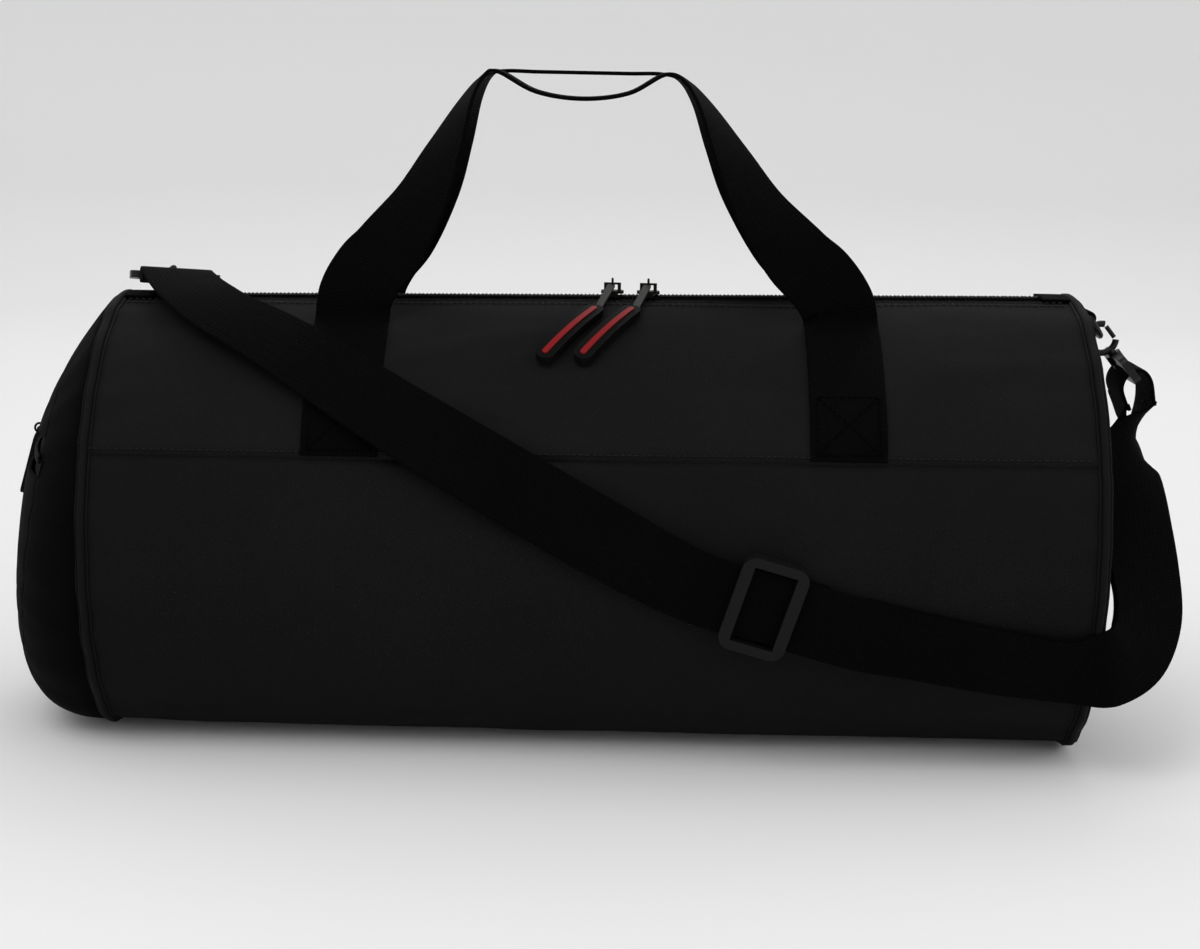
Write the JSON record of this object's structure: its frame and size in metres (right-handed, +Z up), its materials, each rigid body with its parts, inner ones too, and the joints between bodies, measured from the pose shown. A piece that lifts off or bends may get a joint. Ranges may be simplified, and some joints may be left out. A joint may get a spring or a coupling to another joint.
{
  "type": "duffel bag",
  "caption": "Round barrel duffel bag with a zipped top, a puffed end pocket, webbing carry handles and a crossing shoulder strap on swivel hooks.",
  "frame": {"origin": "on the floor under the middle of the bag, at the middle of its flat base", "axes": "+X along the bag away from the end pocket, -Y towards the front where the strap crosses, +Z up"},
  "size_m": [0.6079, 0.2503, 0.3461],
  "materials": {
    "upper_cloth": "matte",
    "lower_cloth": "matte",
    "end_cloth": "matte",
    "piping": "matte",
    "zip_tape": "matte",
    "zip_coil": "satin",
    "slider_metal": "satin",
    "pull_rubber": "matte",
    "pull_stripe": "satin",
    "webbing": "matte",
    "adjuster_plastic": "satin",
    "hook_metal": "satin"
  },
  "bodies": {
    "bag": {"back_left_foot": "webbing", "back_right_foot": "webbing", "back_upper_panel": "upper_cloth", "back_zip_coil": "zip_coil", "back_zip_tape": "zip_tape", "front_left_foot": "webbing", "front_right_foot": "webbing", "front_upper_panel": "upper_cloth", "front_zip_coil": "zip_coil", "front_zip_tape": "zip_tape", "left_piping": "piping", "left_ring": "hook_metal", "left_ring_tab": "webbing", "left_zip_stop": "webbing", "lower_panel": "lower_cloth", "pocket_divider": "end_cloth", "pocket_gusset": "end_cloth", "pocket_lower_face": "end_cloth", "pocket_upper_face": "end_cloth", "pocket_zip_coils": "zip_coil", "pocket_zip_tapes": "zip_tape", "right_end_panel": "end_cloth", "right_piping": "piping", "right_ring": "hook_metal", "right_ring_tab": "webbing", "right_zip_stop": "webbing"},
    "front_handle": {"front_handle": "webbing"},
    "back_handle": {"back_handle": "webbing"},
    "left_slider": {"left_slider": "slider_metal"},
    "right_slider": {"right_slider": "slider_metal"},
    "left_pull": {"left_pull_tab": "slider_metal", "left_pull_grip": "pull_rubber", "left_pull_stripe": "pull_stripe"},
    "right_pull": {"right_pull_tab": "slider_metal", "right_pull_grip": "pull_rubber", "right_pull_stripe": "pull_stripe"},
    "pocket_slider": {"pocket_slider": "slider_metal"},
    "pocket_pull": {"pocket_pull": "pull_rubber"},
    "shoulder_strap": {"strap_webbing": "webbing", "strap_left_loop": "webbing", "strap_right_loop": "webbing", "strap_return_layer": "webbing", "left_swivel_base": "hook_metal", "right_swivel_base": "hook_metal"},
    "adjuster": {"adjuster": "adjuster_plastic", "adjuster_tail": "webbing"},
    "left_hook": {"left_hook": "hook_metal"},
    "right_hook": {"right_hook": "hook_metal"},
    "left_gate": {"left_hook_gate": "hook_metal"},
    "right_gate": {"right_hook_gate": "hook_metal"}
  },
  "joints": [
    {"name": "left_slider_travel", "type": "slide", "parent": "bag", "child": "left_slider", "axis": [1, 0, 0], "range_m": [-0.066, 0]},
    {"name": "right_slider_travel", "type": "slide", "parent": "bag", "child": "right_slider", "axis": [1, 0, 0], "range_m": [0, 0.066]},
    {"name": "left_pull_swing", "type": "hinge", "parent": "left_slider", "child": "left_pull", "pos_m": [0.008, 0, 0.2355], "axis": [1, 0, 0], "range_deg": [-110, 0]},
    {"name": "right_pull_swing", "type": "hinge", "parent": "right_slider", "child": "right_pull", "pos_m": [0.027, 0, 0.2355], "axis": [1, 0, 0], "range_deg": [-110, 0]},
    {"name": "pocket_slider_travel", "type": "hinge", "parent": "bag", "child": "pocket_slider", "pos_m": [-0.0174, 0, 0.15], "axis": [0, 0, 1], "range_deg": [-14, 14]},
    {"name": "pocket_pull_swing", "type": "hinge", "parent": "pocket_slider", "child": "pocket_pull", "pos_m": [-0.2971, 0, 0.15199], "axis": [0, 1, 0], "range_deg": [0, 100]},
    {"name": "front_handle_fold", "type": "hinge", "parent": "bag", "child": "front_handle", "pos_m": [0, -0.04458, 0.22034], "axis": [1, 0, 0], "range_deg": [0, 100]},
    {"name": "back_handle_fold", "type": "hinge", "parent": "bag", "child": "back_handle", "pos_m": [0, 0.04458, 0.22034], "axis": [1, 0, 0], "range_deg": [-100, 0]},
    {"name": "strap_swing", "type": "hinge", "parent": "bag", "child": "shoulder_strap", "pos_m": [-0.235, 0.05267, 0.2283], "axis": [0.9941, -0.1043, -0.0303], "range_deg": [-35, 0]},
    {"name": "adjuster_slide", "type": "slide", "parent": "shoulder_strap", "child": "adjuster", "axis": [0.9597, 0.0491, -0.2768], "range_m": [-0.015, 0.01]},
    {"name": "left_hook_swivel", "type": "hinge", "parent": "shoulder_strap", "child": "left_hook", "pos_m": [-0.235, 0.05267, 0.2283], "axis": [0.2549, -0.9566, 0.1415], "range_deg": [-20, 20]},
    {"name": "right_hook_swivel", "type": "hinge", "parent": "shoulder_strap", "child": "right_hook", "pos_m": [0.267, 0, 0.213], "axis": [0.6222, 0, -0.7828], "range_deg": [-20, 20]},
    {"name": "left_gate_open", "type": "hinge", "parent": "left_hook", "child": "left_gate", "pos_m": [-0.23308, 0.04687, 0.23498], "axis": [-0.9667, -0.2484, 0.0619], "range_deg": [0, 12], "stiffness_Nm_per_rad": 0.02, "springref_deg": -17.19},
    {"name": "right_gate_open", "type": "hinge", "parent": "right_hook", "child": "right_gate", "pos_m": [0.27586, 0, 0.21111], "axis": [0, -1, 0], "range_deg": [0, 12], "stiffness_Nm_per_rad": 0.02, "springref_deg": -17.19}
  ]
}
